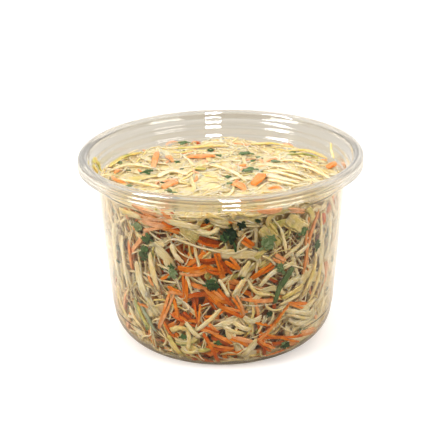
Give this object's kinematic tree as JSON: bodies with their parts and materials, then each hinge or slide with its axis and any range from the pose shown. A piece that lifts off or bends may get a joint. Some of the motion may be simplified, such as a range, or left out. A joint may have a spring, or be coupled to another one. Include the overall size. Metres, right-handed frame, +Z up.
{
  "type": "coleslaw in a clear deli cup",
  "caption": "Round open clear plastic deli cup with a rolled rim, filled to below its neck with shredded coleslaw.",
  "frame": {"origin": "centre of the ring that the cup stands on, in the plane of its resting face", "axes": "+Z up along the cup's axis, towards its open mouth; +X to the right and -Y towards the viewer"},
  "size_m": [0.117, 0.117, 0.08],
  "materials": {
    "clear_plastic": "clear glossy thermoformed sheet",
    "dressed_salad": "wet shredded vegetables in a thin creamy dressing"
  },
  "bodies": {
    "root": {"deli_cup": "clear_plastic", "coleslaw": "dressed_salad"}
  },
  "joints": []
}
